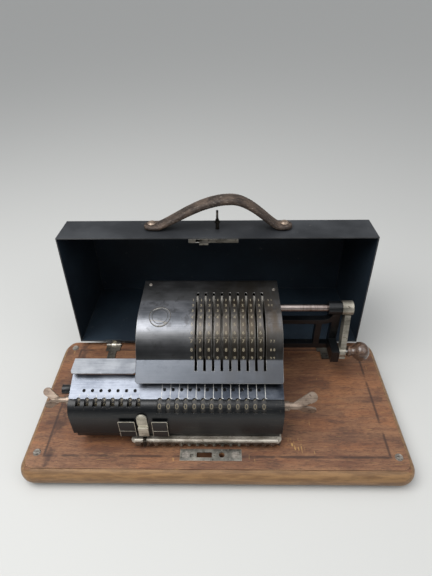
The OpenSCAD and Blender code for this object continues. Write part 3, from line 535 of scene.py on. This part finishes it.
def figure(text, height):  # a digit in millimetres, lying flat about its middle
    if text not in figureShapes:
        curve = bpy.data.curves.new("digit", "FONT")
        curve.body = text
        curve.resolution_u = 3
        curve.extrude = figureRaise
        curve.offset = 0.004
        holder = bpy.data.objects.new("digit", curve)
        bpy.context.collection.objects.link(holder)
        bpy.context.view_layer.update()
        drawn = holder.evaluated_get(bpy.context.evaluated_depsgraph_get())
        figureShapes[text] = bpy.data.meshes.new_from_object(drawn)
        bpy.data.objects.remove(holder)
    bm = bmesh.new()
    bm.from_mesh(figureShapes[text])
    bmesh.ops.remove_doubles(bm, verts=bm.verts, dist=0.0001)
    xs, ys = [v.co.x for v in bm.verts], [v.co.y for v in bm.verts]
    size = height / (max(ys) - min(ys))
    centre = (-(max(xs) + min(xs)) / 2, -(max(ys) + min(ys)) / 2, 0)
    bmesh.ops.translate(bm, vec=centre, verts=bm.verts)
    bmesh.ops.scale(bm, vec=(size, size, markThick / (2 * figureRaise)), verts=bm.verts)
    return bm


def columnX(i):
    return layout["leverX"] - layout["pitch"] * (layout["levers"] - 1 - i)


hoodMarks = {
    "height": 3.5, "fromSlot": 4.2, "lowest": 67, "step": 10.67, "lift": 0.02,
    "lines": (10.5, 41.5), "lineSize": (1.9, 0.35), "lineShift": 1.75,
    "scaleX": (54.9, 58.1), "scaleSteps": (9, 8, 7, 2, 1), "scaleHeight": 2.6,
}


def makeHoodMarks():
    parts = []
    radius = layout["hoodRadius"] + hoodMarks["lift"]

    def mark(part, x, angle, flatBack):
        placed(part, x, layout["rotor"], radius, angle, flatBack=flatBack)
        parts.append(part)

    def digit(n, x, height):
        angle = hoodMarks["lowest"] - (9 - n) * hoodMarks["step"]
        mark(figure(str(n), height), x, angle, True)

    for i in range(layout["levers"]):
        x = columnX(i) - hoodMarks["fromSlot"]
        for n in range(1, 10):
            digit(n, x, hoodMarks["height"])
        for angle in hoodMarks["lines"]:
            for side in (-1, 1):
                line = bar(*hoodMarks["lineSize"], markThick)
                mark(line, x + side * hoodMarks["lineShift"], angle, False)
    # short scale right of the last slot
    for n in hoodMarks["scaleSteps"]:
        for x in hoodMarks["scaleX"]:
            digit(n, x, hoodMarks["scaleHeight"])
    whole = toMesh("hoodFigures", joined(parts), recalculate=False)
    addPiece("hood_figures", whole, "board", "etched")


badge = {
    "x": -56.4, "angle": 12, "outer": 11.2, "line": 0.7, "inner": 8.2, "steps": 48, "stretch": 1.14,
    "innerLine": 0.56, "ringThick": 0.1, "discThick": 0.04,
}


def makeBadge():
    rings = []
    for radius, width in ((badge["outer"], badge["line"]), (badge["inner"], badge["innerLine"])):
        ring = bmesh.new()
        for r in (radius, radius - width):
            bmesh.ops.create_circle(ring, segments=badge["steps"], radius=r)
        bmesh.ops.bridge_loops(ring, edges=ring.edges)
        rings.append(ring)
    disc = bmesh.new()
    discRadius = badge["outer"] - badge["line"]
    bmesh.ops.create_circle(disc, segments=badge["steps"], radius=discRadius, cap_ends=True)
    for part in rings + [disc]:
        solid = bmesh.ops.extrude_face_region(part, geom=part.faces[:])
        raised = [v for v in solid["geom"] if isinstance(v, bmesh.types.BMVert)]
        thick = badge["discThick"] if part is disc else badge["ringThick"]
        bmesh.ops.translate(part, vec=(0, 0, thick), verts=raised)
        bmesh.ops.scale(part, vec=(1, badge["stretch"], 1), verts=part.verts)
        bmesh.ops.recalc_face_normals(part, faces=part.faces)
        placed(part, badge["x"], layout["rotor"], layout["hoodRadius"], badge["angle"], flatBack=True)
    for name, shape, finish in (
        ("badge_outline", rings[0], "etchedDark"),
        ("badge_ring", rings[1], "etchedDark"),
        ("badge_disc", disc, "badge"),
    ):
        piece = addPiece(name, toMesh(name, shape, recalculate=False), "board", finish)


plateMarks = {
    "start": 39.2, "end": 54.5, "width": 0.5, "offset": 1.7, "hook": 1.5, "hookUp": 0.3, "lift": 0.03,
    "digitHeight": 2.3, "digitShift": 0.6, "digitY": 41.5,
    "felt": ((-140, -70, 46.6), (-60, 52, 47.8)), "feltWidth": 4.4, "feltThick": 0.3, "feltDrop": 1.6,
}


def onPlate(bm, x, y):  # lays flat work on the sloping plate of the carriage
    slope = math.radians(layout["plateSlope"])
    front, height = layout["plateFront"]
    up = height + (y - front) * math.tan(slope) + plateMarks["lift"]
    lay = Matrix.Translation((x, y, up)) @ Matrix.Rotation(slope, 4, "X")
    bmesh.ops.transform(bm, matrix=lay, verts=bm.verts)
    for v in bm.verts:
        v.co = spot(*v.co)


def makePlateMarks():
    parts = []
    length = (plateMarks["end"] - plateMarks["start"]) / math.cos(math.radians(layout["plateSlope"]))
    middle = (plateMarks["start"] + plateMarks["end"]) / 2
    for i in range(layout["resultDigits"]):
        x = layout["resultX"] - layout["pitch"] * (layout["resultDigits"] - 1 - i) + plateMarks["offset"]
        line = bar(plateMarks["width"], length, markThick)
        onPlate(line, x, middle)
        hook = bar(plateMarks["hook"], plateMarks["width"], markThick)
        onPlate(hook, x + plateMarks["hook"] / 2, plateMarks["start"] + plateMarks["hookUp"])
        parts += [line, hook]
    for i in range(layout["counterDigits"]):
        x = layout["counterX"] - layout["pitch"] * (layout["counterDigits"] - 1 - i)
        digit = figure(str(layout["counterDigits"] - i), plateMarks["digitHeight"])
        onPlate(digit, x + plateMarks["digitShift"], plateMarks["digitY"])
        parts.append(digit)
    # a thin black sheet under the plate stands for the shade seen through its holes
    felt = joined([])
    for x0, x1, y in plateMarks["felt"]:
        strip = bar(x1 - x0, plateMarks["feltWidth"], plateMarks["feltThick"])
        onPlate(strip, (x0 + x1) / 2, y)
        bmesh.ops.translate(strip, vec=(0, 0, -plateMarks["feltDrop"] / 1000), verts=strip.verts)
        mesh = toMesh("strip", strip)
        felt.from_mesh(mesh)
        bpy.data.meshes.remove(mesh)
    addPiece("plate_hole_shade", toMesh("plateHoleShade", felt), "carriage", "felt")
    whole = toMesh("plateMarks", joined(parts), recalculate=False)
    addPiece("plate_marks", whole, "carriage", "engraved")


drumFigures = {
    "resultHeight": 5.4, "resultAngle": 40, "counterHeight": 4.0, "counterAngle": 70, "lift": 0.02,
}


def makeDrumFigures():
    for kind, radius in (("result", layout["drumRadius"]), ("counter", layout["counterRadius"])):
        height, firstAngle = drumFigures[kind + "Height"], drumFigures[kind + "Angle"]
        count = layout[kind + "Digits"]
        for i in range(count):
            x = layout[kind + "X"] - layout["pitch"] * (count - 1 - i)
            parts = []
            for n in range(10):
                part = figure(str(n), height)
                placed(part, x, layout[kind], radius + drumFigures["lift"], firstAngle + 36 * n)
                parts.append(part)
            name = f"{kind}_wheel_{i + 1}"
            whole = toMesh(name, joined(parts), recalculate=False)
            addPiece(name + "_figures", whole, name, "ivory")


guardRims = {
    "left": (-96.4, -80.2), "right": (-63.0, -47.8), "bottom": 19, "top": 43, "front": 24.0,
    "width": 0.55, "bar": 28, "barWidth": 0.385, "round": 0.1375,
}


def makeGuardRims():  # bright worn rims round the two black guards beside the latch
    parts = []
    wide, low, top = guardRims["width"], guardRims["bottom"], guardRims["top"]
    for x0, x1 in (guardRims["left"], guardRims["right"]):
        for x, z, length, height in (
            ((x0 + x1) / 2, top, x1 - x0, wide),
            ((x0 + x1) / 2, guardRims["bar"], x1 - x0, guardRims["barWidth"]),
            (x0, (low + top) / 2, wide, top - low),
            (x1, (low + top) / 2, wide, top - low),
        ):
            rim = bar(length, wide, height)
            bmesh.ops.bevel(
                rim, geom=rim.edges[:], offset=guardRims["round"], offset_type="OFFSET", affect="EDGES",
                segments=1, profile=0.5, material=-1,
            )
            for v in rim.verts:
                v.co = spot(x + v.co.x, guardRims["front"] + v.co.y, z + v.co.z)
            parts.append(rim)
    whole = toMesh("guardRims", joined(parts), recalculate=False)
    addPiece("guard_rims", whole, "carriage", "nickel")


makeHoodMarks()
makeGuardRims()
makeBadge()
makePlateMarks()
makeDrumFigures()
print("figures and marks made")


# leather handle of the cover

handle = {
    "x0": -74, "x1": 77, "wall": 12.5, "z": 25, "width": 20, "rise": 39, "thick": 9, "endThick": 5.6,
    "middle": 16, "flat": 7, "steps": 72, "ends": 9, "archPower": 1.2,
    "padding": 0.16, "groove": 0.1, "grooveWidth": 0.9, "edge": 0.14, "edgeDrop": 0.25, "wobble": 0.14,
    "stitches": 46, "stitchIn": 3.0, "stitchSize": (1.0, 0.4, 0.03), "stitchStart": 8, "stitchUp": 0.415,
}


def archPoint(x):  # the strap's middle line, as x and distance from the wall, and its thickness
    reach = handle["middle"] - handle["x0"] if x < handle["middle"] else handle["x1"] - handle["middle"]
    side = min(1.0, max(0.0, 1 - abs(x - handle["middle"]) / (reach - handle["flat"])))
    rise = handle["rise"] - handle["thick"] / 2 - handle["endThick"] / 2
    share = min(1.0, max(0.0, (x - handle["x0"]) / (handle["x1"] - handle["x0"])))
    thick = handle["endThick"] + (handle["thick"] - handle["endThick"]) * math.sin(math.pi * share)
    return handle["endThick"] / 2 + rise * math.sin(math.pi / 2 * side) ** handle["archPower"], thick


def bendOnArch(bm):  # x along the strap, y across it and z through it, as a share of its thickness
    for v in bm.verts:
        x = v.co.x
        out, thick = archPoint(x)
        ahead, behind = archPoint(x + 0.5)[0], archPoint(x - 0.5)[0]
        along = Vector((1, ahead - behind)).normalized()
        shift = v.co.z * thick
        side = handle["z"] + v.co.y
        v.co = spot(x - along.y * shift, handle["wall"] - out - along.x * shift, side)
    bmesh.ops.transform(bm, matrix=opened(), verts=bm.verts)


def makeHandle():
    bm = bmesh.new()
    bmesh.ops.create_cube(bm, size=1)
    length = handle["x1"] - handle["x0"] + 2 * handle["ends"]
    bmesh.ops.scale(bm, vec=(length, handle["width"], 1), verts=bm.verts)
    bmesh.ops.translate(bm, vec=((handle["x0"] + handle["x1"]) / 2, 0, 0), verts=bm.verts)
    across = [e for e in bm.edges if abs(e.verts[0].co.y - e.verts[1].co.y) > 1]
    bmesh.ops.subdivide_edges(bm, edges=across, cuts=7, use_grid_fill=True)
    along = [e for e in bm.edges if abs(e.verts[0].co.x - e.verts[1].co.x) > 1]
    bmesh.ops.subdivide_edges(bm, edges=along, cuts=handle["steps"], use_grid_fill=True)
    half = handle["width"] / 2
    for v in bm.verts:
        u = abs(v.co.y) / half
        # padded middle, a stitched groove and a rolled edge
        fromGroove = (abs(v.co.y) - (half - handle["stitchIn"])) / handle["grooveWidth"]
        rolled = handle["edgeDrop"] * max(0, u - (1 - handle["edge"])) / handle["edge"]
        v.co.z *= 1 - handle["padding"] * u * u - handle["groove"] * math.exp(-fromGroove ** 2) - rolled
        over = max(0, handle["x0"] - v.co.x, v.co.x - handle["x1"]) / handle["ends"]
        v.co.y *= math.sqrt(max(0.04, 1 - over * over))
        v.co.y += handle["wobble"] * (math.sin(v.co.x * 0.31) + math.sin(v.co.x * 0.73 + 1))
    bendOnArch(bm)
    piece = addPiece("handle_leather", toMesh("handleLeather", bm), "case_cover", "leather", smooth=80)
    subdivision = piece.modifiers.new("smooth", "SUBSURF")
    subdivision.levels = subdivision.render_levels = 1
    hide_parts("handle_strap")


def makeStitches():
    parts = []
    first, last = handle["x0"] + handle["stitchStart"], handle["x1"] - handle["stitchStart"]
    for side in (-1, 1):
        y = side * (handle["width"] / 2 - handle["stitchIn"])
        for face in (-1, 1):
            for i in range(handle["stitches"]):
                stitch = bmesh.new()
                bmesh.ops.create_uvsphere(stitch, u_segments=6, v_segments=4, radius=1)
                bmesh.ops.scale(stitch, vec=handle["stitchSize"], verts=stitch.verts)
                x = first + (last - first) * (i + 0.5) / handle["stitches"]
                bmesh.ops.translate(stitch, vec=(x, y, face * handle["stitchUp"]), verts=stitch.verts)
                parts.append(stitch)
    threads = joined(parts)
    bendOnArch(threads)
    piece = addPiece("handle_stitches", toMesh("handleStitches", threads), "case_cover", "thread")


makeHandle()
makeStitches()
print("handle made")


# turned wooden knob

knob = {
    "x0": 151.5, "x1": 176.8, "radius": 11.2, "round": 9.8, "bore": 2.52, "steps": 48, "roundSteps": 8,
    "neck": (
        (0.0, 5.9), (0.5, 6.35), (2.4, 6.35), (3.0, 5.9), (3.2, 5.2), (4.2, 5.2), (5.6, 5.6),
        (7.4, 6.7), (9.2, 8.3), (10.8, 9.8), (12.4, 10.8),
    ),
}


def makeKnob():
    bm = bmesh.new()
    far = knob["x1"] - knob["x0"]
    outline = [(0.0, knob["bore"]), *knob["neck"]]
    for i in range(knob["roundSteps"] + 1):
        turn = math.radians(90 * (1 - i / knob["roundSteps"]))
        outline.append((far - knob["round"] * (1 - math.cos(turn)), knob["radius"] * math.sin(turn)))
    outline.append((far, 0.0))
    chain = [bm.verts.new((x, 0, radius)) for x, radius in outline]
    edges = [bm.edges.new(pair) for pair in zip(chain, chain[1:])]
    bmesh.ops.spin(
        bm, geom=chain + edges, axis=(1, 0, 0), cent=(0, 0, 0), angle=2 * math.pi,
        steps=knob["steps"], use_merge=True,
    )
    bmesh.ops.remove_doubles(bm, verts=bm.verts, dist=0.001)
    for v in bm.verts:
        v.co = spot(knob["x0"] + v.co.x, layout["knob"][0] + v.co.y, layout["knob"][1] + v.co.z)
    piece = addPiece("knob_wood", toMesh("knobWood", bm), "crank_knob", "knob", smooth=50)
    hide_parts("crank_knob")


makeKnob()

rail = {"lipBack": 36, "lipLow": 10}
latch = {"pawlTop": 16.7}


def railSide(face):  # the bare steel lip along the front of the base
    middle = face.calc_center_median()
    lip = middle.y < spot(0, rail["lipBack"], 0).y and middle.z > spot(0, 0, rail["lipLow"]).z
    return 1 if lip else 0


def latchSide(face):  # painted shade: the latch below the lip gets the dark blackened finish
    return 1 if face.calc_center_median().z < spot(0, 0, latch["pawlTop"]).z else 0


softEdged("result_wing", "result_wing", 0.7, "wing", "tarnished", segments=3, sharp=40)
softEdged("counter_wing", "counter_wing", 0.6, "wing", "tarnished", segments=3, sharp=40)
softEdged("crank_arm_plate", "crank", 0.5, "agedNickel", "nickel", segments=2)
softEdged("machine_base", "board", 0.9, ("tarnished", "lip"), "lip", segments=3, pick=railSide)
softEdged("carriage_latch", "carriage_latch", 0.25, ("nickel", "key"), segments=1, pick=latchSide)
softEdged("guard_plate", "board", 0.3, "guard", "steel", segments=1)
softEdged("key", "key", 0.4, "key", segments=2)
softEdged("lock_case", "case_cover", 0.5, "tarnished", "steel", segments=2)
print("fittings made")


# light and floor

studio = {
    "floor": 14.0, "floorDrop": 0.4, "world": 1.1, "low": 0.2, "climb": (0.45, 0.98),
    "mainPlace": (-420, -120, 950), "mainPower": 10.0,
    "sidePlace": (700, -300, 700), "sidePower": 2.5,
    "lampSize": 0.8, "aim": (0, 80, 30),
}


def makeStudio():
    bm = bmesh.new()
    bmesh.ops.create_grid(bm, x_segments=1, y_segments=1, size=studio["floor"])
    mesh = toMesh("floor", bm, recalculate=False)
    floor = bpy.data.objects.new("floor", mesh)
    floor.location.z = -studio["floorDrop"] / 1000
    bpy.context.collection.objects.link(floor)
    f = Finish("floorPale")
    f.set(basecolor=tone(196, 196, 193), roughness=0.8)
    mesh.materials.append(f.material)
    world = bpy.data.worlds.new("paleRoom")
    bpy.context.scene.world = world
    world.use_nodes = True
    tree = world.node_tree
    # a room that is bright overhead and darker near the horizon
    direction = tree.nodes.new("ShaderNodeTexCoord").outputs["Generated"]
    parts = tree.nodes.new("ShaderNodeSeparateXYZ")
    tree.links.new(direction, parts.inputs[0])
    climb = tree.nodes.new("ShaderNodeMapRange")
    climb.interpolation_type = "SMOOTHSTEP"
    climb.inputs["From Min"].default_value, climb.inputs["From Max"].default_value = studio["climb"]
    climb.inputs["To Min"].default_value = studio["low"]
    climb.inputs["To Max"].default_value = studio["world"]
    tree.links.new(parts.outputs[2], climb.inputs["Value"])
    background = tree.nodes["Background"]
    background.inputs["Color"].default_value = (0.95, 0.97, 1.0, 1)
    tree.links.new(climb.outputs[0], background.inputs["Strength"])
    for name in ("main", "side"):
        lamp = bpy.data.lights.new(name + "Light", "AREA")
        lamp.size = studio["lampSize"]
        lamp.energy = studio[name + "Power"]
        holder = bpy.data.objects.new(name + "Light", lamp)
        holder.location = spot(*studio[name + "Place"])
        towards = spot(*studio["aim"]) - holder.location
        holder.rotation_euler = towards.to_track_quat("-Z", "Y").to_euler()
        bpy.context.collection.objects.link(holder)
    bpy.context.scene.view_settings.view_transform = "Standard"


makeStudio()
